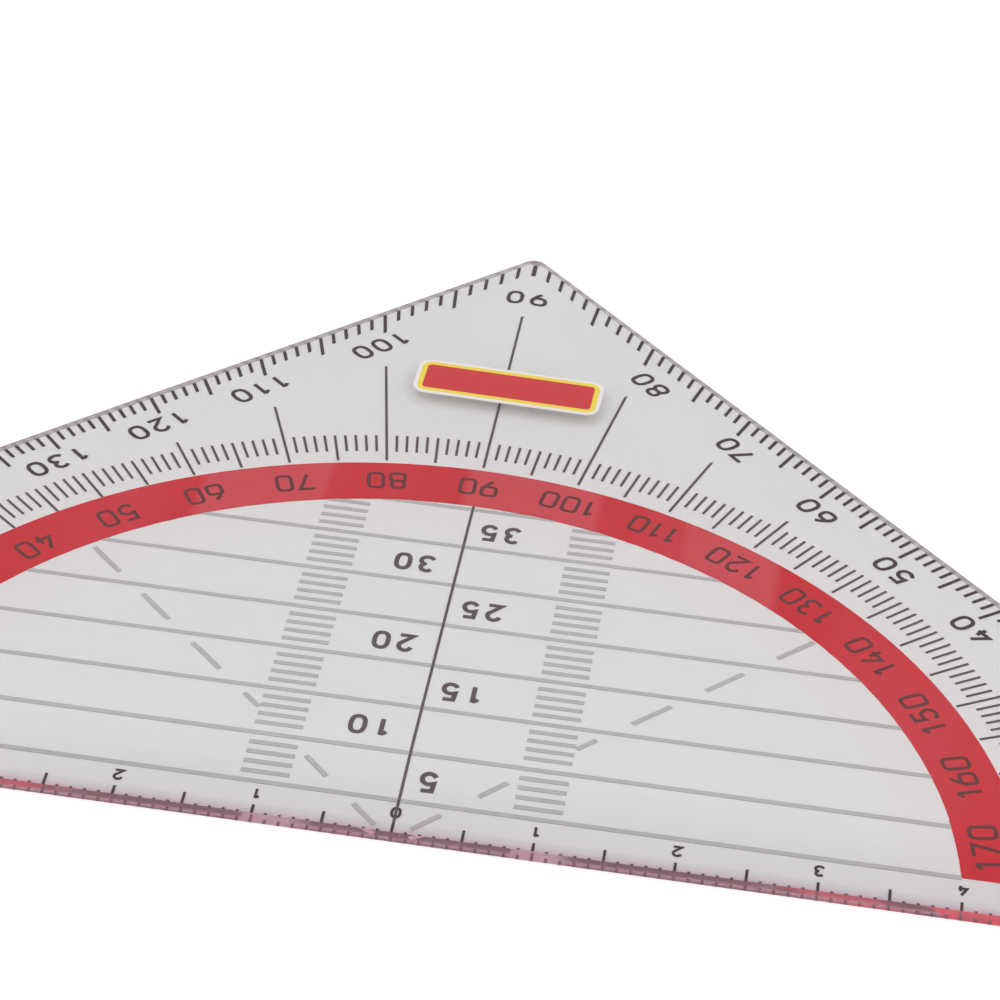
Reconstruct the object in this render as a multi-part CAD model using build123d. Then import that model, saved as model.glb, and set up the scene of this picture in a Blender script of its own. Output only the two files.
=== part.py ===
from build123d import *
from math import atan2, cos, degrees, radians, sin, sqrt
import os

os.makedirs("parts", exist_ok=True)

# Driving sizes, in millimetres and degrees.
# X runs along the ruling edge, Y from it to the right-angled tip, Z up from the table.

# Moulded plate
ruling_edge = 154.0
plate_thickness = 1.9
corner_radius = 1.2
ruling_edge_thickness = 0.9
ruling_bevel_width = 8.2
side_edge_thickness = 1.25
side_bevel_width = 7.5

# Ink that fills shallow grooves in the underside
ink_depth = 0.05
fine_line = 0.2
guide_line = 0.34
bold_tick = 0.28

# Degree ticks along the two side edges, lengths square to the edge
side_tick_length = 1.3
side_half_ten_length = 2.3
side_first_degree = 40
tip_tick_margin = 0.1

# Protractor, whose centre lies just outside the ruling edge
protractor_drop = 0.23
number_strip = 3.96
ring_tick_length = 2.2
ring_half_ten_length = 3.45
ring_first_degree = 20
long_line_edge_gap = 6.74

# Ruling scale along the long edge
scale_unit = 1.0
scale_end_margin = 5.0
unit_tick_length = 0.7
half_ten_tick_length = 1.7
ten_tick_length = 1.4

# Lines parallel to the ruling edge, one every five millimetres
line_pitch = 5.0
line_setback = 1.2

# Columns of millimetre rungs beside the centre line
ladder_inner = 8.1
ladder_outer = 11.6
rungs_per_line = 5

# Dashes at 45 degrees from the zero point
dash_angle = 45
dash_pitch = 7.0
dash_start = 0.8
dash_length = 3.6
dash_scale_gap = 0.4
dash_gap_before_ladder = 0.8
dash_gap_after_ladder = 0.15

# Red protractor band, inside the ring of ticks
band_width = 4.9
band_ring_gap = 0.47
band_sideways = 0.3
band_print_gap = 0.05

# Derived sizes
half_edge = ruling_edge / 2
plate_depth = half_edge - corner_radius * (sqrt(2) - 1)
right_angle = 90
straight_angle = 180
zero = Vector(0, -protractor_drop)
side_reach = half_edge + protractor_drop
side_distance = side_reach / sqrt(2)
ring_outer_radius = side_distance - side_half_ten_length - number_strip
ring_inner_radius = ring_outer_radius - ring_half_ten_length
band_centre = Vector(-band_sideways, -line_setback)
band_outer_radius = ring_inner_radius - protractor_drop + line_setback - band_ring_gap
band_inner_radius = band_outer_radius - band_width
band_foot = line_pitch - line_setback
line_count = int(band_inner_radius // line_pitch)
rung_pitch = line_pitch / rungs_per_line
scale_half_tens = int((half_edge - scale_end_margin) // (10 * scale_unit))


def polar(angle, radius):
    """Point at an angle and radius from the protractor's zero point."""
    turn = radians(angle)
    return Vector(zero.X + radius * cos(turn), zero.Y + radius * sin(turn))


def radius_at(angle, edge_gap):
    """Radius at which a ray from the zero point comes within a gap of its side edge."""
    turn = radians(angle)
    return (side_distance - edge_gap) * sqrt(2) / (abs(cos(turn)) + sin(turn))


def bar(start, end, width):
    """Flat stroke between two points."""
    along = end - start
    middle = (start + end) * 0.5
    turn = degrees(atan2(along.Y, along.X))
    return Pos(middle.X, middle.Y) * Rot(0, 0, turn) * Rectangle(along.length, width)


def ray(angle, inner, outer, width):
    """Stroke along a ray from the zero point."""
    return bar(polar(angle, inner), polar(angle, outer), width)


def slanted_tick(angle, length, width):
    """Stroke along a ray whose two ends are parallel to the side edge it runs out to."""
    turn = radians(angle)
    side = 1 if angle < right_angle else -1
    across = Vector(-sin(turn), cos(turn)) * (width / 2)
    edge_normal = Vector(side, 1) * (1 / sqrt(2))
    ray_direction = Vector(cos(turn), sin(turn))
    corners = []
    for offset, reach in ((across, 0), (across, length), (-across, length), (-across, 0)):
        distance = side_distance - reach - offset.dot(edge_normal)
        corners.append(zero + offset + ray_direction * (distance / ray_direction.dot(edge_normal)))
    return make_face(Polyline(*corners, close=True))


def ink(faces):
    """Solids of ink in the underside, one for each separate mark."""
    marks = []
    for face in faces:
        marks.extend(extrude(face, ink_depth, dir=(0, 0, 1)).solids())
    return marks


def less(faces, others):
    """Marks with the places that other marks hold left out."""
    return [face - others for face in faces]


def inside_band(faces):
    """Marks cut off just short of the band's inner edge."""
    disc = Pos(band_centre.X, band_centre.Y) * Circle(band_inner_radius - band_print_gap)
    kept = [face & disc for face in faces]
    return [face for face in kept if face and face.area > 0]


def outside_band(faces):
    """Marks cut off just short of the band's outer edge."""
    disc = Pos(band_centre.X, band_centre.Y) * Circle(band_outer_radius + band_print_gap)
    return less(faces, [disc])


def make_plate_blank():
    """Clear triangle, flat below and bevelled above towards all three edges."""
    corners = [(-half_edge, 0), (half_edge, 0), (0, half_edge)]
    outline = make_face(Polyline(*corners, close=True))
    outline = fillet(outline.vertices(), corner_radius)
    blank = extrude(outline, plate_thickness, dir=(0, 0, 1))
    ruling_cut = bevel_cutter(ruling_edge_thickness, ruling_bevel_width)
    side_cut = bevel_cutter(side_edge_thickness, side_bevel_width)
    blank -= ruling_cut
    for side in (1, -1):
        turned = Rot(0, 0, side * (straight_angle - dash_angle)) * side_cut
        blank -= Pos(side * half_edge / 2, half_edge / 2) * turned
    return blank


def bevel_cutter(edge_thickness, bevel_width):
    """Wedge over an edge that lies along X, with the plate on its +Y side."""
    slope = (plate_thickness - edge_thickness) / bevel_width
    overrun = plate_thickness
    low = edge_thickness - slope * overrun
    high = plate_thickness + slope * overrun
    section = Polyline(
        (0, -overrun, low),
        (0, bevel_width + overrun, high),
        (0, -overrun, high),
        close=True,
    )
    return extrude(make_face(section), ruling_edge, dir=(1, 0, 0), both=True)


def ring_ticks():
    """One tick a degree round the protractor, between the ten-degree lines."""
    faces = []
    for angle in range(ring_first_degree, straight_angle - ring_first_degree + 1):
        if angle % 10 == 0:
            continue
        length = ring_half_ten_length if angle % 5 == 0 else ring_tick_length
        faces.append(ray(angle, ring_outer_radius - length, ring_outer_radius, fine_line))
    return outside_band(faces)


def ten_degree_lines():
    """Longer lines every ten degrees, which reach towards the side edges round the tip."""
    faces = []
    for angle in range(10, straight_angle, 10):
        outer = max(ring_outer_radius, radius_at(angle, long_line_edge_gap))
        faces.append(ray(angle, ring_inner_radius, outer, fine_line))
    return outside_band(faces)


def side_ticks(side):
    """Degree ticks along one side edge, the upright one at the tip with the right side."""
    faces = []
    for step in range(side_first_degree, right_angle + 1):
        angle = step if side > 0 else straight_angle - step
        if angle != right_angle:
            length = side_half_ten_length if angle % 5 == 0 else side_tick_length
            faces.append(slanted_tick(angle, length, bold_tick))
        elif side > 0:
            outer = plate_depth - tip_tick_margin + protractor_drop
            inner = outer - side_tick_length * sqrt(2)
            faces.append(ray(angle, inner, outer, bold_tick))
    return faces


def scale_ticks():
    """Millimetre scale along the ruling edge, counted both ways from the middle."""
    faces = []
    for step in range(-10 * scale_half_tens, 10 * scale_half_tens + 1):
        length = unit_tick_length
        if step % 10 == 0:
            length = ten_tick_length
        elif step % 5 == 0:
            length = half_ten_tick_length
        across = step * scale_unit
        faces.append(bar(Vector(across, 0), Vector(across, length), fine_line))
    return faces


def line_height(number):
    """Height of a parallel line above the ruling edge."""
    return number * line_pitch - line_setback


def parallel_lines():
    """Lines along the ruling edge that end at the band."""
    faces = []
    for number in range(1, line_count + 1):
        height = line_height(number)
        faces.append(bar(Vector(-half_edge, height), Vector(half_edge, height), guide_line))
    return inside_band(faces)


def centre_line():
    """Upright line from the ruling scale to the band."""
    return inside_band([bar(Vector(0, ten_tick_length), Vector(0, half_edge), fine_line)])


def ladder_rungs(side):
    """Millimetre rungs between the parallel lines on one side of the centre line."""
    faces = []
    for number in range(1, line_count):
        for step in range(1, rungs_per_line):
            height = line_height(number) + step * rung_pitch
            start = Vector(side * ladder_inner, height)
            end = Vector(side * ladder_outer, height)
            faces.append(bar(start, end, guide_line))
    return inside_band(faces)


def clear_of_ladder(start, end):
    """Stretches of a dash that lie before and after the column of rungs."""
    near = (ladder_inner - dash_gap_before_ladder) / cos(radians(dash_angle))
    far = (ladder_outer + dash_gap_after_ladder) / cos(radians(dash_angle))
    stretches = [(start, min(end, near)), (max(start, far), end)]
    return [(first, second) for first, second in stretches if first < second]


def diagonal_dashes():
    """Dashes at 45 degrees both ways, which keep off the ruling scale and the ladders."""
    faces = []
    scale_top = (unit_tick_length + dash_scale_gap + protractor_drop) / sin(radians(dash_angle))
    last = int((band_inner_radius - dash_start - dash_length) // dash_pitch)
    for number in range(last + 1):
        start = max(scale_top, dash_start + number * dash_pitch)
        end = dash_start + number * dash_pitch + dash_length
        for first, second in clear_of_ladder(start, end):
            faces.append(ray(dash_angle, first, second, guide_line))
            faces.append(ray(straight_angle - dash_angle, first, second, guide_line))
    return faces


def protractor_band():
    """Half ring of red ink that stops at the height of the first parallel line."""
    ring = Circle(band_outer_radius) - Circle(band_inner_radius)
    window = Pos(band_centre.X, band_foot + half_edge / 2) * Rectangle(ruling_edge, half_edge)
    return Pos(band_centre.X, band_centre.Y) * ring & window


# The parallel lines run through, and the upright line and the dashes stop at them
lines = parallel_lines()
upright = less(centre_line(), lines)
dashes = less(diagonal_dashes(), lines)

nodes = {
    "degree_ring_ticks": ink(ring_ticks()),
    "ten_degree_lines": ink(ten_degree_lines()),
    "side_ticks_left": ink(side_ticks(-1)),
    "side_ticks_right": ink(side_ticks(1)),
    "ruling_scale": ink(scale_ticks()),
    "parallel_lines": ink(lines),
    "centre_line": ink(upright),
    "ladder_left": ink(ladder_rungs(-1)),
    "ladder_right": ink(ladder_rungs(1)),
    "diagonal_dashes": ink(dashes),
    "protractor_band": ink([protractor_band()]),
}

grooves = [mark for marks in nodes.values() for mark in marks]
nodes["plate"] = [make_plate_blank() - grooves]

# The part's origin is under the middle of its outline
to_origin = Pos(0, -plate_depth / 2, 0)
for name, solids in nodes.items():
    placed = Compound([to_origin * solid for solid in solids])
    placed.label = name
    export_step(placed, f"parts/{name}.step")
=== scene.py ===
import math

import bmesh
import bpy
from mathutils import Matrix, Vector


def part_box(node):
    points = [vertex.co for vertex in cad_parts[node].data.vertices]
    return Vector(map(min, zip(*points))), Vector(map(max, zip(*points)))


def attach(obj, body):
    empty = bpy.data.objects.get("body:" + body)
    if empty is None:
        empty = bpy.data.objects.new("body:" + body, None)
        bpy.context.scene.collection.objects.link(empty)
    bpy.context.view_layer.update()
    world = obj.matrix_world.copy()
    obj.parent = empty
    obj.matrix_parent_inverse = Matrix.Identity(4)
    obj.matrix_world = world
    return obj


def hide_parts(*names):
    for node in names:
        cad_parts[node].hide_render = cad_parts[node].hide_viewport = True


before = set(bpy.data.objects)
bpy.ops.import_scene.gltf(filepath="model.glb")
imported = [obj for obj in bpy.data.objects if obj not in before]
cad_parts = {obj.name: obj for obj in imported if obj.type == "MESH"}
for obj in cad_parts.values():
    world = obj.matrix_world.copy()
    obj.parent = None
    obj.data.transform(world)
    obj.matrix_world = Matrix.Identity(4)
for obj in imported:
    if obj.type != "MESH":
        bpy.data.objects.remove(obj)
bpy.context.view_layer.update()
mm = 0.001  # the frame is in metres, and the sizes below are in millimetres

# Degrees
straightAngle = 180
rightAngle = 90
edgeAngle = 45  # the side edges' slant to the ruling edge
numberEvery = 10

# The drawing's own zero: the middle of the ruling edge, on the underside
plateLow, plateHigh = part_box("plate")
rulingMiddle = Vector(((plateLow.x + plateHigh.x) / 2, plateLow.y, plateLow.z))
topFace = (plateHigh.z - plateLow.z) / mm

# Where the print lies, as on the part's own marks
printing = {
    "inkDepth": 0.05,
    "inkBite": 0.006,  # ink stands this far into the plastic above it, so that it wets it
    "inkSpread": 0.006,  # and this far into the plastic beside it
    "guideSpread": 0.045,  # the guide lines' thinner ink creeps further
    "protractorDrop": 0.23,
    "lineSetback": 1.2,
    "linePitch": 5.0,
    "sideDistance": 54.61,
    "ringOuterRadius": 48.35,
    "ringTick": 2.2,
    "ringHalfTenTick": 3.45,
    "sideTick": 1.3,
    "sideHalfTenTick": 2.3,
    "fineLine": 0.2,
    "boldTick": 0.28,
    "centreLine": (1.4, 39.25),
    "strokeStep": 0.002,  # each stroke of a figure lies this much over the one before
}
noiseSpan = (0.3, 0.7)  # most of a noise's values lie between these
uprightBelow = 0.5  # a face whose normal rises less than this stands upright
scene = bpy.context.scene


def toFrame(x, y, z=0.0):
    return rulingMiddle + Vector((x, y, z)) * mm


def linkMesh(name, mesh):
    piece = bpy.data.objects.new(name, mesh)
    scene.collection.objects.link(piece)
    return piece


def bmeshPiece(name, bm):
    bmesh.ops.recalc_face_normals(bm, faces=bm.faces)
    mesh = bpy.data.meshes.new(name)
    bm.to_mesh(mesh)
    bm.free()
    return linkMesh(name, mesh)


def newMaterial(name):
    material = bpy.data.materials.new(name)
    material.use_nodes = True
    tree = material.node_tree
    shader = tree.nodes["Principled BSDF"]
    return material, tree, shader


def objectNoise(tree, scale, detail=3.0, stretch=(1.0, 1.0, 1.0)):
    coord = tree.nodes.new("ShaderNodeTexCoord")
    mapping = tree.nodes.new("ShaderNodeMapping")
    mapping.inputs["Scale"].default_value = stretch
    noise = tree.nodes.new("ShaderNodeTexNoise")
    noise.inputs["Scale"].default_value = scale
    noise.inputs["Detail"].default_value = detail
    tree.links.new(coord.outputs["Object"], mapping.inputs["Vector"])
    tree.links.new(mapping.outputs["Vector"], noise.inputs["Vector"])
    return noise


def ramp(tree, source, stops):
    node = tree.nodes.new("ShaderNodeValToRGB")
    while len(node.color_ramp.elements) < len(stops):
        node.color_ramp.elements.new(0.5)
    for element, (position, color) in zip(node.color_ramp.elements, stops):
        element.position = position
        element.color = (*color, 1.0)
    tree.links.new(source, node.inputs["Fac"])
    return node.outputs["Color"]


# From one colour to another as a noise grows
def fade(tree, noise, low, high, span=noiseSpan):
    return ramp(tree, noise.outputs["Fac"], list(zip(span, (low, high))))


def grey(level):
    return (level, level, level)


def objectPlace(tree, axis):
    coord = tree.nodes.new("ShaderNodeTexCoord")
    split = tree.nodes.new("ShaderNodeSeparateXYZ")
    tree.links.new(coord.outputs["Object"], split.inputs["Vector"])
    return split.outputs[axis]


# Nought up to the start and one from the end on, evenly between
def rise(tree, value, start, end):
    node = tree.nodes.new("ShaderNodeMapRange")
    node.inputs["From Min"].default_value = start
    node.inputs["From Max"].default_value = end
    tree.links.new(value, node.inputs["Value"])
    return node.outputs["Result"]


def fieldMath(tree, operation, *values):
    node = tree.nodes.new("ShaderNodeMath")
    node.operation = operation
    for socket, value in zip(node.inputs, values):
        if isinstance(value, (int, float)):
            socket.default_value = value
        else:
            tree.links.new(value, socket)
    return node.outputs["Value"]


# One where a face stands upright, nought on the flat and bevelled ones
def uprightFaces(tree):
    geometry = tree.nodes.new("ShaderNodeNewGeometry")
    split = tree.nodes.new("ShaderNodeSeparateXYZ")
    tree.links.new(geometry.outputs["True Normal"], split.inputs["Vector"])
    return fieldMath(tree, "LESS_THAN", fieldMath(tree, "ABSOLUTE", split.outputs["Z"]), uprightBelow)


def blend(tree, factor, plain, other):
    mix = tree.nodes.new("ShaderNodeMix")
    mix.data_type = "RGBA"
    tree.links.new(factor, mix.inputs["Factor"])
    tree.links.new(plain, mix.inputs["A"])
    mix.inputs["B"].default_value = (*other, 1.0)
    return mix.outputs["Result"]


def addBump(tree, shader, height, strength, distance):
    bump = tree.nodes.new("ShaderNodeBump")
    bump.inputs["Strength"].default_value = strength
    bump.inputs["Distance"].default_value = distance
    tree.links.new(height, bump.inputs["Height"])
    tree.links.new(bump.outputs["Normal"], shader.inputs["Normal"])


def roughen(tree, shader, noise, limits):
    low, high = limits
    tree.links.new(fade(tree, noise, grey(low), grey(high)), shader.inputs["Roughness"])


# Camera, as the photograph was taken: close, low and a little rolled
view = {
    "aim": (1.785, 41.985, 0.0),
    "distance": 267.96,
    "elevation": 35.930,
    "azimuth": -5.860,
    "roll": 3.940,
    "lens": 120.39,
    "sensor": 36.0,
    "clip": (0.01, 20.0),
}


def makeCamera():
    data = bpy.data.cameras.new("photoCamera")
    data.lens = view["lens"]
    data.sensor_width = view["sensor"]
    data.clip_start, data.clip_end = view["clip"]
    camera = bpy.data.objects.new("photoCamera", data)
    scene.collection.objects.link(camera)
    up = math.radians(view["elevation"])
    side = math.radians(view["azimuth"])
    away = Vector((-math.sin(side) * math.cos(up), -math.cos(side) * math.cos(up), math.sin(up)))
    camera.location = toFrame(*view["aim"]) + away * view["distance"] * mm
    turn = (-away).to_track_quat("-Z", "Y").to_matrix().to_4x4()
    roll = Matrix.Rotation(math.radians(view["roll"]), 4, "Z")
    camera.matrix_world = Matrix.Translation(camera.location) @ turn @ roll
    scene.camera = camera


# Clear moulded plastic
plastic = {
    "tint": (0.99, 0.987, 0.988),
    "tintSwing": 0.995,
    # Painted shade near the ruling edge: a darker colour over the bevel and a maroon one at the brink
    "bevelPaintedShade": (0.915, 0.903, 0.906),
    "brinkPaintedShade": (0.73, 0.58, 0.65),
    "brinkFrom": 0.87,
    "bevelWidth": 8.2,
    # Painted shade on the upright faces: a pinkish colour, with a darker painted line near their top
    "sidePaintedShade": (0.97, 0.88, 0.895),
    "rimPaintedShade": (0.86, 0.64, 0.68),
    "rimFrom": 0.85,
    "rimTo": 1.1,
    # Painted shade on the ruling edge's upright face: maroon, for the light the plate carries to it through
    # the red ink
    "rulingPaintedShade": (0.98, 0.40, 0.53),
    "ior": 1.49,
    "roughness": 0.015,
    "sideRoughness": 0.44,
    "sideHaze": 0.40,
    "rulingFrom": 0.99,
    "rulingRoughness": 0.17,
    "rulingHaze": 0.10,
    "scuffRoughness": 0.03,
    "scuffScale": 260.0,
    "scuffStretch": (1.0, 0.25, 1.0),
    "scuffSpan": (0.66, 0.80),
    "waveScale": 30.0,
    "waveStrength": 0.012,
    "waveDepth": 0.2,
}


def clearPlasticMaterial():
    material, tree, shader = newMaterial("clearPlastic")
    shader.inputs["Transmission Weight"].default_value = 1.0
    shader.inputs["IOR"].default_value = plastic["ior"]
    deeper = tuple(plastic["tintSwing"] * part for part in plastic["tint"])
    tint = fade(tree, objectNoise(tree, plastic["waveScale"], detail=2.0), deeper, plastic["tint"])

    # Painted shade: the colour darkens towards the ruling edge for the bevel's shading and turns maroon at
    # the brink; the painted shade is strongest on the edge's upright face
    edges = uprightFaces(tree)
    inner = rulingMiddle.y + plastic["bevelWidth"] * mm
    nearness = rise(tree, objectPlace(tree, "Y"), inner, rulingMiddle.y)
    color = blend(tree, nearness, tint, plastic["bevelPaintedShade"])
    color = blend(tree, rise(tree, nearness, plastic["brinkFrom"], 1.0), color, plastic["brinkPaintedShade"])
    # Painted shade: pinkish upright faces, with a darker painted rim line near the top
    color = blend(tree, edges, color, plastic["sidePaintedShade"])
    low, high = (rulingMiddle.z + plastic[key] * mm for key in ("rimFrom", "rimTo"))
    rim = fieldMath(tree, "MULTIPLY", edges, rise(tree, objectPlace(tree, "Z"), low, high))
    color = blend(tree, rim, color, plastic["rimPaintedShade"])
    brink = fieldMath(tree, "GREATER_THAN", nearness, plastic["rulingFrom"])
    front = fieldMath(tree, "MULTIPLY", edges, brink)
    # Painted shade: the ruling edge's upright face is maroon
    color = blend(tree, front, color, plastic["rulingPaintedShade"])
    tree.links.new(color, shader.inputs["Base Color"])

    # The upright faces are matt and a little milky, the ruling edge less so
    haze = fieldMath(tree, "MULTIPLY", edges, plastic["sideHaze"])
    haze = fieldMath(tree, "MULTIPLY_ADD", front, plastic["rulingHaze"] - plastic["sideHaze"], haze)
    clear = fieldMath(tree, "SUBTRACT", 1.0, haze)
    tree.links.new(clear, shader.inputs["Transmission Weight"])
    scuffs = objectNoise(tree, plastic["scuffScale"], detail=6.0, stretch=plastic["scuffStretch"])
    smooth = grey(plastic["roughness"])
    scuffed = grey(plastic["scuffRoughness"])
    rough = fade(tree, scuffs, smooth, scuffed, plastic["scuffSpan"])
    matted = blend(tree, edges, rough, grey(plastic["sideRoughness"]))
    matted = blend(tree, front, matted, grey(plastic["rulingRoughness"]))
    tree.links.new(matted, shader.inputs["Roughness"])
    waves = objectNoise(tree, plastic["waveScale"], detail=1.0)
    addBump(tree, shader, waves.outputs["Fac"], plastic["waveStrength"], plastic["waveDepth"] * mm)
    return material


# Printing inks: black, weaker where it is fine or lies on the band, and grey for the guide lines
inks = {
    "black": {"dark": (0.092, 0.068, 0.080), "light": (0.135, 0.100, 0.116), "speckle": 9000.0},
    "fine": {"dark": (0.160, 0.127, 0.142), "light": (0.215, 0.172, 0.188), "speckle": 9000.0},
    "onBand": {"dark": (0.190, 0.066, 0.071), "light": (0.240, 0.087, 0.092), "speckle": 9000.0},
    "guide": {"dark": (0.65, 0.65, 0.669), "light": (0.745, 0.745, 0.764), "speckle": 7000.0},
    "toneSpan": (0.35, 0.7),
    "roughness": (0.45, 0.62),
    "gloss": 0.0,  # ink that wets the plastic has no gloss of its own
}


def inkMaterial(name, look):
    material, tree, shader = newMaterial(name)
    speckle = objectNoise(tree, look["speckle"])
    color = fade(tree, speckle, look["dark"], look["light"], inks["toneSpan"])
    tree.links.new(color, shader.inputs["Base Color"])
    roughen(tree, shader, speckle, inks["roughness"])
    shader.inputs["Specular IOR Level"].default_value = inks["gloss"]
    return material


# Red band ink, with painted reflections: paler stretches across it that stand for lights reflected on the
# band, and paler clouds here and there
redInk = {
    "deep": (0.850, 0.053, 0.067),
    "pale": (0.895, 0.120, 0.146),
    "stretchFrom": -40.0,
    "stretchTo": 40.0,
    # Where the painted reflections of the lights lie across the band
    "reflectionStarts": (-21.5, -1.0, 17.0),
    "reflectionEnds": (-11.8, 9.9, 24.5),
    "softness": 0.35,
    "cloudScale": 90.0,
    "cloudStretch": (1.0, 0.2, 1.0),
    "cloudSpan": (0.40, 0.75),
    "cloudShare": 0.6,
    "grainScale": 8000.0,
    "roughness": (0.4, 0.55),
}


def redInkMaterial():
    material, tree, shader = newMaterial("redInk")
    look = redInk
    span = look["stretchTo"] - look["stretchFrom"]
    across = rise(tree, objectPlace(tree, "X"), look["stretchFrom"] * mm, look["stretchTo"] * mm)
    stops = [(0.0, look["deep"])]
    for start, end in zip(look["reflectionStarts"], look["reflectionEnds"]):
        first = (start - look["stretchFrom"]) / span
        last = (end - look["stretchFrom"]) / span
        soft = look["softness"] / span
        stops += [(first - soft, look["deep"]), (first + soft, look["pale"]),
                  (last - soft, look["pale"]), (last + soft, look["deep"])]
    paintedReflections = ramp(tree, across, stops)
    clouds = objectNoise(tree, look["cloudScale"], detail=2.0, stretch=look["cloudStretch"])
    thin = fade(tree, clouds, grey(0.0), grey(look["cloudShare"]), look["cloudSpan"])
    color = blend(tree, thin, paintedReflections, look["pale"])
    tree.links.new(color, shader.inputs["Base Color"])
    grain = objectNoise(tree, look["grainScale"], detail=2.0)
    roughen(tree, shader, grain, look["roughness"])
    shader.inputs["Specular IOR Level"].default_value = inks["gloss"]
    return material


clearPlastic = clearPlasticMaterial()
blackInk = inkMaterial("blackInk", inks["black"])
fineInk = inkMaterial("fineInk", inks["fine"])
onBandInk = inkMaterial("onBandInk", inks["onBand"])
guideInk = inkMaterial("guideInk", inks["guide"])
bandInk = redInkMaterial()
print("plastic and inks ready")


# The plate keeps its own solid
def dressPlate():
    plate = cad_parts["plate"]
    plate.data.materials.clear()
    plate.data.materials.append(clearPlastic)


# Each printed group is the node's own shape, wetted into the plastic above and beside it
printedGroups = [
    {"ink": blackInk, "slot": "black_ink", "spread": printing["inkSpread"],
     "nodes": ("side_ticks_left", "side_ticks_right", "ruling_scale")},
    {"ink": fineInk, "slot": "black_ink", "spread": printing["inkSpread"],
     "nodes": ("degree_ring_ticks", "ten_degree_lines", "centre_line")},
    {"ink": guideInk, "slot": "black_ink", "spread": printing["guideSpread"],
     "nodes": ("parallel_lines", "ladder_left", "ladder_right", "diagonal_dashes")},
    {"ink": bandInk, "slot": "red_ink", "spread": printing["inkSpread"],
     "nodes": ("protractor_band",)},
]
wetting = {
    "mergeWithin": 1e-7,  # metres
    "sidewaysFrom": 0.05,  # corners whose normal leans aside by more than this are pushed out
}


def wettedInk(node, material, spread):
    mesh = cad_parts[node].data.copy()
    bm = bmesh.new()
    bm.from_mesh(mesh)
    bmesh.ops.remove_doubles(bm, verts=bm.verts, dist=wetting["mergeWithin"])
    bmesh.ops.recalc_face_normals(bm, faces=bm.faces)
    bm.normal_update()
    middle = rulingMiddle.z + printing["inkDepth"] * mm / 2
    outward = [vert.normal.copy() for vert in bm.verts]
    for vert, normal in zip(bm.verts, outward):
        aside = Vector((normal.x, normal.y, 0.0))
        if aside.length > wetting["sidewaysFrom"]:
            vert.co += aside.normalized() * spread * mm
        if vert.co.z > middle:
            vert.co.z += printing["inkBite"] * mm
    piece = bmeshPiece(node + "_ink", bm)
    piece.data.materials.clear()
    piece.data.materials.append(material)
    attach(piece, "root")
    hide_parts(node)


mitreLimit = 0.45  # keeps the points of sharp corners short


# Numerals, drawn as strokes of even width in a box one unit wide and one high
def arc(cx, cy, rx, ry, start, end, steps=10):
    points = []
    for step in range(steps + 1):
        turn = math.radians(start + (end - start) * step / steps)
        points.append((cx + rx * math.cos(turn), cy + ry * math.sin(turn)))
    return points


def squaredLoop(cx, cy, rx, ry, power, steps=28):
    points = []
    for step in range(steps):
        turn = 2 * math.pi * step / steps
        c = math.cos(turn)
        s = math.sin(turn)
        points.append((cx + rx * math.copysign(abs(c) ** (2 / power), c),
                       cy + ry * math.copysign(abs(s) ** (2 / power), s)))
    return points


def halfTurned(strokes):
    return [([(1 - x, 1 - y) for x, y in points], closed) for points, closed in strokes]


def numeralStrokes(squareness):
    six = [(squaredLoop(0.5, 0.31, 0.5, 0.31, squareness), True),
           ([(0.02, 0.36), (0.10, 0.55), (0.34, 0.80), (0.66, 1.0)], False)]
    return {
        "0": [(squaredLoop(0.5, 0.5, 0.5, 0.5, squareness), True)],
        "1": [([(0.58, 1.0), (0.58, 0.0)], False), ([(0.18, 0.79), (0.56, 0.97)], False)],
        "2": [(arc(0.5, 0.70, 0.46, 0.30, 165, -30) + [(0.02, 0.0), (1.0, 0.0)], False)],
        "3": [(arc(0.48, 0.75, 0.42, 0.25, 150, -80), False),
              (arc(0.48, 0.27, 0.50, 0.27, 85, -155), False)],
        "4": [([(0.62, 1.0), (0.0, 0.27), (1.0, 0.27)], False), ([(0.74, 0.55), (0.74, 0.0)], False)],
        "5": [([(0.92, 1.0), (0.16, 1.0), (0.10, 0.55)] + arc(0.48, 0.31, 0.50, 0.31, 115, -155), False)],
        "6": six,
        "7": [([(0.0, 1.0), (1.0, 1.0), (0.34, 0.0)], False)],
        "8": [(squaredLoop(0.5, 0.76, 0.42, 0.24, squareness), True),
              (squaredLoop(0.5, 0.26, 0.5, 0.26, squareness), True)],
        "9": halfTurned(six),
    }


def strokeSides(points, closed, halfWidth):
    left = []
    right = []
    count = len(points)
    for index, point in enumerate(points):
        before = points[index - 1] if closed or index > 0 else point
        after = points[(index + 1) % count] if closed or index < count - 1 else point
        coming = point - before
        going = after - point
        first = coming.normalized() if coming.length else going.normalized()
        second = going.normalized() if going.length else first
        normal = Vector((-(first.y + second.y), first.x + second.x)).normalized()
        mitre = halfWidth / max(mitreLimit, normal.dot(Vector((-first.y, first.x))))
        left.append(point + normal * mitre)
        right.append(point - normal * mitre)
    return left, right


def addStroke(bm, points, closed, halfWidth, low, high):
    left, right = strokeSides(points, closed, halfWidth)
    rows = []
    for a, b in zip(left, right):
        rows.append([bm.verts.new(toFrame(a.x, a.y, high)), bm.verts.new(toFrame(b.x, b.y, high)),
                     bm.verts.new(toFrame(b.x, b.y, low)), bm.verts.new(toFrame(a.x, a.y, low))])
    pairs = list(zip(rows, rows[1:]))
    if closed:
        pairs.append((rows[-1], rows[0]))
    else:
        bm.faces.new(rows[0])
        bm.faces.new(rows[-1])
    for one, two in pairs:
        for side in range(4):
            bm.faces.new((one[side], two[side], two[(side + 1) % 4], one[(side + 1) % 4]))


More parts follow.
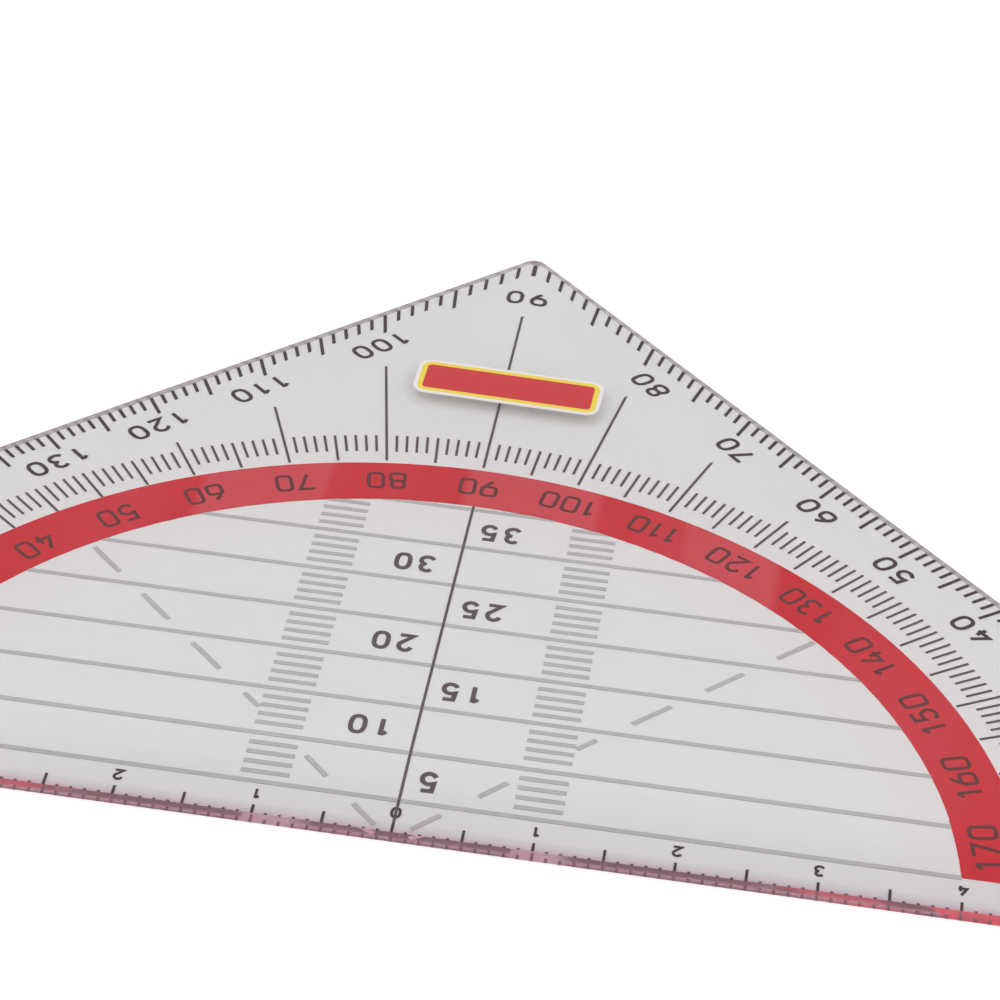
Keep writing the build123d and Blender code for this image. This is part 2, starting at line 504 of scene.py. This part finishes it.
def addNumber(bm, text, centre, upwards, style, low, high):
    up = Vector(upwards).normalized()
    right = Vector((up.y, -up.x))
    strokes = numeralStrokes(style["squareness"])
    rooms = [style["width"] * (style["oneRoom"] if digit == "1" else 1.0) for digit in text]
    place = -(sum(rooms) + style["spacing"] * (len(text) - 1)) / 2
    for digit, room in zip(text, rooms):
        middle = Vector(centre) + right * (place + room / 2)
        place += room + style["spacing"]
        for order, (points, closed) in enumerate(strokes[digit]):
            top = high + order * printing["strokeStep"]
            placed = []
            for x, y in points:
                across = (x - 0.5) * (style["width"] - style["stroke"])
                along = (y - 0.5) * (style["height"] - style["stroke"])
                placed.append(middle + right * across + up * along)
            addStroke(bm, placed, closed, style["stroke"] / 2, low, top)


def finishInk(piece, material):
    piece.data.materials.append(material)
    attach(piece, "root")


zero = Vector((0.0, -printing["protractorDrop"]))


def ray(angle):
    turn = math.radians(angle)
    return Vector((math.cos(turn), math.sin(turn)))


# The centre line goes on over the guide lines that it crosses
def makeCrossings():
    bm = bmesh.new()
    low, high = printing["centreLine"]
    ends = [Vector((0.0, low)), Vector((0.0, high))]
    over = printing["inkDepth"] + 2 * printing["inkBite"]
    halfWidth = printing["fineLine"] / 2 + printing["inkSpread"]
    addStroke(bm, ends, False, halfWidth, printing["inkDepth"] / 2, over)
    finishInk(bmeshPiece("centre_line_over_guides", bm), fineInk)


# Degree numbers between the ring and the side edges
outerNumbers = {
    "width": 1.5,
    "height": 2.1,
    "stroke": 0.33,
    "spacing": 0.45,
    "oneRoom": 0.95,
    "squareness": 2.6,
    "sideGap": 3.85,
    "tipPlace": (0.0, 70.64),
    "firstAngle": 20,
    "shift": 0.9,
    "ownShifts": {80: 1.6, 100: 0.4, 110: 0.75, 120: 0.6},
}


def makeOuterNumbers():
    look = outerNumbers
    bm = bmesh.new()
    high = printing["inkDepth"] + printing["inkBite"]
    addNumber(bm, str(rightAngle), look["tipPlace"], (0, -1), look, 0.0, high)
    distance = printing["sideDistance"] - look["sideGap"]
    for angle in range(look["firstAngle"], straightAngle - look["firstAngle"] + 1, numberEvery):
        if angle == rightAngle:
            continue
        side = 1 if angle < rightAngle else -1
        outward = Vector((side, 1)).normalized()
        along = Vector((side, -1)).normalized()
        lean = edgeAngle - (angle if side > 0 else straightAngle - angle)
        foot = distance * math.tan(math.radians(lean))
        shift = look["ownShifts"].get(angle, look["shift"])
        centre = zero + outward * distance + along * (foot + shift)
        addNumber(bm, str(angle), centre, -outward, look, 0.0, high)
    finishInk(bmeshPiece("outer_degree_numbers", bm), blackInk)


# Degree numbers on the red band, printed before it and so above it
bandNumbers = {
    "width": 1.45,
    "height": 2.2,
    "stroke": 0.30,
    "spacing": 0.3,
    "oneRoom": 0.7,
    "squareness": 4.5,
    "radius": 42.1,
    "thickness": 0.008,
}


def makeBandNumbers():
    look = bandNumbers
    bm = bmesh.new()
    low = printing["inkDepth"] + printing["inkBite"]
    for angle in range(numberEvery, straightAngle, numberEvery):
        centre = zero + ray(angle) * look["radius"]
        addNumber(bm, str(straightAngle - angle), centre, -ray(angle), look, low, low + look["thickness"])
    finishInk(bmeshPiece("band_degree_numbers", bm), onBandInk)


# Heights of the guide lines, in turn on the two sides of the centre line
lineNumbers = {
    "width": 1.38,
    "height": 2.15,
    "stroke": 0.36,
    "spacing": 0.47,
    "oneRoom": 1.0,
    "squareness": 2.6,
    "rightPlace": 2.65,
    "leftPlace": -3.35,
    "singlePlace": 1.75,
    "lift": 2.25,
    "count": 7,
    "step": 5,
}


def makeLineNumbers():
    look = lineNumbers
    bm = bmesh.new()
    high = printing["inkDepth"] + printing["inkBite"]
    for number in range(1, look["count"] + 1):
        text = str(number * look["step"])
        height = number * printing["linePitch"] - printing["lineSetback"] + look["lift"]
        across = look["rightPlace"] if number % 2 else look["leftPlace"]
        if len(text) == 1:
            across = look["singlePlace"]
        addNumber(bm, text, (across, height), (0, -1), look, 0.0, high)
    finishInk(bmeshPiece("guide_line_numbers", bm), fineInk)


# Centimetre figures of the ruling scale, counted both ways from the middle
scaleNumbers = {
    "width": 0.80,
    "height": 1.1,
    "stroke": 0.20,
    "spacing": 0.2,
    "oneRoom": 1.0,
    "squareness": 2.4,
    "lift": 2.55,
    "pitch": 10,
    "count": 7,
}


def makeScaleNumbers():
    look = scaleNumbers
    bm = bmesh.new()
    high = printing["inkDepth"] + printing["inkBite"]
    for number in range(-look["count"], look["count"] + 1):
        addNumber(bm, str(abs(number)), (number * look["pitch"], look["lift"]), (0, -1), look, 0.0, high)
    finishInk(bmeshPiece("scale_numbers", bm), blackInk)


# Ring and side ticks nearer to the long corners, as instances along their rule
outerTicks = {
    "ring_ticks_beyond": {"First Degree": 5, "Last Degree": 19, "Along Side": False, "Skip Tens": True},
    "side_ticks_beyond": {"First Degree": 25, "Last Degree": 39, "Along Side": True, "Skip Tens": False},
}
tickInputs = (
    ("First Degree", "NodeSocketInt"),
    ("Last Degree", "NodeSocketInt"),
    ("Along Side", "NodeSocketBool"),
    ("Skip Tens", "NodeSocketBool"),
    ("Reach", "NodeSocketFloat"),
    ("Tick Length", "NodeSocketFloat"),
    ("Half Ten Length", "NodeSocketFloat"),
    ("Stroke", "NodeSocketFloat"),
    ("Thickness", "NodeSocketFloat"),
    ("Zero", "NodeSocketVector"),
    ("Ink", "NodeSocketMaterial"),
)


halfWay = 0.5  # whole numbers are told apart half-way between them


def fieldChoice(tree, choose, no, yes):
    node = tree.nodes.new("GeometryNodeSwitch")
    node.input_type = "FLOAT"
    tree.links.new(choose, node.inputs["Switch"])
    for name, value in (("False", no), ("True", yes)):
        tree.links.new(value, node.inputs[name])
    return node.outputs["Output"]


def tickTree():
    tree = bpy.data.node_groups.new("degreeTicks", "GeometryNodeTree")
    for name, kind in tickInputs:
        tree.interface.new_socket(name=name, in_out="INPUT", socket_type=kind)
    tree.interface.new_socket(name="Geometry", in_out="OUTPUT", socket_type="NodeSocketGeometry")
    given = tree.nodes.new("NodeGroupInput").outputs
    result = tree.nodes.new("NodeGroupOutput")

    # Half of the points are for the right side, and the other half mirror them
    span = fieldMath(tree, "SUBTRACT", given["Last Degree"], given["First Degree"])
    count = fieldMath(tree, "ADD", span, 1)
    points = tree.nodes.new("GeometryNodePoints")
    tree.links.new(fieldMath(tree, "MULTIPLY", count, 2), points.inputs["Count"])
    index = tree.nodes.new("GeometryNodeInputIndex").outputs["Index"]
    degree = fieldMath(tree, "ADD", fieldMath(tree, "MODULO", index, count), given["First Degree"])
    isLeft = fieldMath(tree, "GREATER_THAN", fieldMath(tree, "ADD", index, halfWay), count)
    mirrored = fieldMath(tree, "SUBTRACT", straightAngle, degree)
    angle = fieldMath(tree, "RADIANS", fieldChoice(tree, isLeft, degree, mirrored))
    cosine = fieldMath(tree, "COSINE", angle)
    sine = fieldMath(tree, "SINE", angle)

    # Towards a side edge the lengths grow with the slant of the ray
    lean = fieldMath(tree, "ADD", fieldMath(tree, "ABSOLUTE", cosine), sine)
    slant = fieldMath(tree, "DIVIDE", math.sqrt(2), lean)
    isHalfTen = fieldMath(tree, "LESS_THAN", fieldMath(tree, "MODULO", degree, numberEvery / 2), halfWay)
    length = fieldChoice(tree, isHalfTen, given["Tick Length"], given["Half Ten Length"])
    length = fieldChoice(tree, given["Along Side"], length, fieldMath(tree, "MULTIPLY", length, slant))
    reach = fieldChoice(tree, given["Along Side"], given["Reach"],
                        fieldMath(tree, "MULTIPLY", given["Reach"], slant))
    radius = fieldMath(tree, "SUBTRACT", reach, fieldMath(tree, "DIVIDE", length, 2))

    place = tree.nodes.new("ShaderNodeCombineXYZ")
    tree.links.new(fieldMath(tree, "MULTIPLY", cosine, radius), place.inputs["X"])
    tree.links.new(fieldMath(tree, "MULTIPLY", sine, radius), place.inputs["Y"])
    tree.links.new(fieldMath(tree, "DIVIDE", given["Thickness"], 2), place.inputs["Z"])
    shifted = tree.nodes.new("ShaderNodeVectorMath")
    shifted.operation = "ADD"
    tree.links.new(place.outputs["Vector"], shifted.inputs[0])
    tree.links.new(given["Zero"], shifted.inputs[1])
    tree.links.new(shifted.outputs["Vector"], points.inputs["Position"])

    isTen = fieldMath(tree, "LESS_THAN", fieldMath(tree, "MODULO", degree, numberEvery), halfWay)
    spare = tree.nodes.new("GeometryNodeDeleteGeometry")
    tree.links.new(points.outputs["Geometry"], spare.inputs["Geometry"])
    tree.links.new(fieldMath(tree, "MULTIPLY", isTen, given["Skip Tens"]), spare.inputs["Selection"])

    size = tree.nodes.new("ShaderNodeCombineXYZ")
    tree.links.new(length, size.inputs["X"])
    tree.links.new(given["Stroke"], size.inputs["Y"])
    tree.links.new(given["Thickness"], size.inputs["Z"])
    turn = tree.nodes.new("ShaderNodeCombineXYZ")
    tree.links.new(angle, turn.inputs["Z"])
    unit = tree.nodes.new("GeometryNodeMeshCube")
    ticks = tree.nodes.new("GeometryNodeInstanceOnPoints")
    tree.links.new(spare.outputs["Geometry"], ticks.inputs["Points"])
    tree.links.new(unit.outputs["Mesh"], ticks.inputs["Instance"])
    tree.links.new(turn.outputs["Vector"], ticks.inputs["Rotation"])
    tree.links.new(size.outputs["Vector"], ticks.inputs["Scale"])
    real = tree.nodes.new("GeometryNodeRealizeInstances")
    tree.links.new(ticks.outputs["Instances"], real.inputs["Geometry"])
    finish = tree.nodes.new("GeometryNodeSetMaterial")
    tree.links.new(real.outputs["Geometry"], finish.inputs["Geometry"])
    tree.links.new(given["Ink"], finish.inputs["Material"])
    tree.links.new(finish.outputs["Geometry"], result.inputs["Geometry"])
    return tree


def grownPiece(name, tree, values):
    carrier = linkMesh(name + "_carrier", bpy.data.meshes.new(name + "_carrier"))
    modifier = carrier.modifiers.new(name, "NODES")
    modifier.node_group = tree
    for socket in tree.interface.items_tree:
        if socket.in_out == "INPUT" and socket.name in values:
            modifier[socket.identifier] = values[socket.name]
    evaluated = carrier.evaluated_get(bpy.context.evaluated_depsgraph_get())
    mesh = bpy.data.meshes.new_from_object(evaluated)
    bpy.data.objects.remove(carrier)
    mesh.name = name
    return linkMesh(name, mesh)


def makeOuterTicks():
    tree = tickTree()
    for name, choice in outerTicks.items():
        side = choice["Along Side"]
        sizes = {
            "Reach": printing["sideDistance" if side else "ringOuterRadius"],
            "Tick Length": printing["sideTick" if side else "ringTick"],
            "Half Ten Length": printing["sideHalfTenTick" if side else "ringHalfTenTick"],
            "Stroke": printing["boldTick" if side else "fineLine"],
            "Thickness": printing["inkDepth"],
        }
        values = {key: size * mm for key, size in sizes.items()}
        values.update(choice)
        values["Zero"] = tuple(toFrame(zero.x, zero.y))
        values["Ink"] = blackInk if side else fineInk
        piece = grownPiece(name, tree, values)
        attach(piece, "root")


# Plain applied label on the upper face: a red field in a yellow frame, with a pale rim
label = {
    "middle": (0.5, 55.25),
    "length": 15.6,
    "width": 4.9,
    "corner": 1.1,
    "turn": -1.5,
    "rim": 0.32,
    "frame": 0.42,
    "gap": 0.005,
    "thickness": 0.08,
    "leastCorner": 0.15,
    "cornerSteps": 8,
    "grainScale": 5000.0,
    "toneSwing": 0.93,
    "roughness": (0.42, 0.55),
    # Painted light: the underside's warm colour tints the light bounced under the label, standing for light
    # shining through the label into its shadow
    "back": (0.97, 0.76, 0.64),
    "cream": (0.74, 0.69, 0.676),
    "yellow": (0.747, 0.594, 0.058),
    "red": (0.529, 0.030, 0.037),
}


def labelMaterial(name, key):
    material, tree, shader = newMaterial(name)
    grain = objectNoise(tree, label["grainScale"])
    tone = label[key]
    deeper = tuple(label["toneSwing"] * part for part in tone)
    tree.links.new(fade(tree, grain, deeper, tone), shader.inputs["Base Color"])
    roughen(tree, shader, grain, label["roughness"])
    return material


def roundedOblong(inset):
    halfLength = label["length"] / 2 - inset
    halfWidth = label["width"] / 2 - inset
    corner = max(label["corner"] - inset, label["leastCorner"])
    turn = Matrix.Rotation(math.radians(label["turn"]), 2)
    points = []
    for quarter, (sx, sy) in enumerate(((1, 1), (-1, 1), (-1, -1), (1, -1))):
        centre = Vector((sx * (halfLength - corner), sy * (halfWidth - corner)))
        for step in range(label["cornerSteps"] + 1):
            angle = math.radians(rightAngle * (quarter + step / label["cornerSteps"]))
            point = centre + Vector((math.cos(angle), math.sin(angle))) * corner
            points.append(Vector(label["middle"]) + turn @ point)
    return points


def oblongRing(bm, inset, height):
    return [bm.verts.new(toFrame(point.x, point.y, height)) for point in roundedOblong(inset)]


# In the order of the faces' material numbers
labelLayers = (("labelFilm", "cream"), ("labelFrame", "yellow"), ("labelField", "red"), ("labelBackPaintedLight", "back"))


# Three rings on the upper side part the rim, the frame and the field, and a fourth below closes the film
def makeLabel():
    bm = bmesh.new()
    high = topFace + label["thickness"]
    insets = (0.0, label["rim"], label["rim"] + label["frame"])
    rings = [oblongRing(bm, inset, high) for inset in insets]
    low = oblongRing(bm, 0.0, topFace + label["gap"])
    count = len(low)
    # The underside carries the painted light that warms the label's shadow
    bm.faces.new(list(reversed(low))).material_index = 3
    bm.faces.new(rings[2]).material_index = 2
    for index, (outer, inner) in enumerate(((low, rings[0]), (rings[0], rings[1]), (rings[1], rings[2]))):
        for place in range(count):
            after = (place + 1) % count
            face = bm.faces.new((outer[place], outer[after], inner[after], inner[place]))
            face.material_index = max(index - 1, 0)
    piece = bmeshPiece("plain_label", bm)
    for name, key in labelLayers:
        piece.data.materials.append(labelMaterial(name, key))
    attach(piece, "root")


dressPlate()
for group in printedGroups:
    for node in group["nodes"]:
        wettedInk(node, group["ink"], group["spread"])
print("marks inked")
makeCrossings()
makeOuterNumbers()
makeBandNumbers()
makeLineNumbers()
makeScaleNumbers()
print("numerals drawn")
makeOuterTicks()
makeLabel()
print("outer ticks and label made")


# Pale floor and soft light
studio = {
    "floorSize": 6.0,  # metres
    "floorColor": (0.93, 0.93, 0.93),
    "floorGap": 0.02,
    "floorRoughness": 0.9,
    "floorGlow": 0.115,
    # The dome is lit evenly but for a dark flag behind, whose soft limits are heights and a depth
    "lit": 1.335,
    "flag": 0.32,
    "flagFoot": (0.30, 0.40),
    "flagTop": (0.90, 0.82),
    "flagFront": (0.35, 0.50),
}


def makeFloor():
    half = studio["floorSize"] / 2
    z = rulingMiddle.z - studio["floorGap"] * mm
    mesh = bpy.data.meshes.new("floor")
    corners = [(-half, -half, z), (half, -half, z), (half, half, z), (-half, half, z)]
    mesh.from_pydata(corners, [], [(0, 1, 2, 3)])
    floor = linkMesh("floor", mesh)
    material, _, shader = newMaterial("floorPaper")
    shader.inputs["Base Color"].default_value = (*studio["floorColor"], 1.0)
    shader.inputs["Roughness"].default_value = studio["floorRoughness"]
    shader.inputs["Specular IOR Level"].default_value = 0.0
    shader.inputs["Emission Color"].default_value = (1.0, 1.0, 1.0, 1.0)
    shader.inputs["Emission Strength"].default_value = studio["floorGlow"]
    floor.data.materials.append(material)


def makeDome():
    world = bpy.data.worlds.new("softStudio")
    scene.world = world
    world.use_nodes = True
    tree = world.node_tree
    background = tree.nodes["Background"]
    coord = tree.nodes.new("ShaderNodeTexCoord")
    split = tree.nodes.new("ShaderNodeSeparateXYZ")
    tree.links.new(coord.outputs["Generated"], split.inputs["Vector"])
    flag = fieldMath(tree, "MULTIPLY", rise(tree, split.outputs["Z"], *studio["flagFoot"]),
                     rise(tree, split.outputs["Z"], *studio["flagTop"]))
    flag = fieldMath(tree, "MULTIPLY", flag, rise(tree, split.outputs["Y"], *studio["flagFront"]))
    level = fieldMath(tree, "MULTIPLY_ADD", flag, studio["flag"] - studio["lit"], studio["lit"])
    background.inputs["Color"].default_value = (1.0, 1.0, 1.0, 1.0)
    tree.links.new(level, background.inputs["Strength"])


makeCamera()
makeFloor()
makeDome()
scene.view_settings.view_transform = "Standard"
print("stage set")
